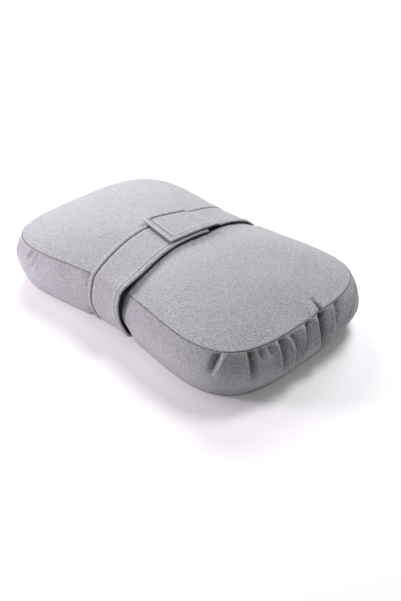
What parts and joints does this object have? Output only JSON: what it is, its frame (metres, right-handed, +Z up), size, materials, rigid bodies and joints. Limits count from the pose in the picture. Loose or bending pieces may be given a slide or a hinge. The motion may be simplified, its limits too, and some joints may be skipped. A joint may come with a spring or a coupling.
{
  "type": "knee pillow",
  "caption": "Waisted knee pillow with a crowned top, a gathered side band and a broad lapped strap round its waist.",
  "frame": {"origin": "on the surface the pillow lies on, under the middle of its overall box", "axes": "+X along the length, towards the more gathered end; +Y across the width; +Z up through the thickness"},
  "size_m": [0.3933, 0.24, 0.0874],
  "materials": {
    "cover": "short-pile plush, matt with a soft sheen",
    "band": "short-pile plush with bound, topstitched edges"
  },
  "bodies": {
    "root": {"pillow": "cover", "strap": "band"}
  },
  "joints": []
}
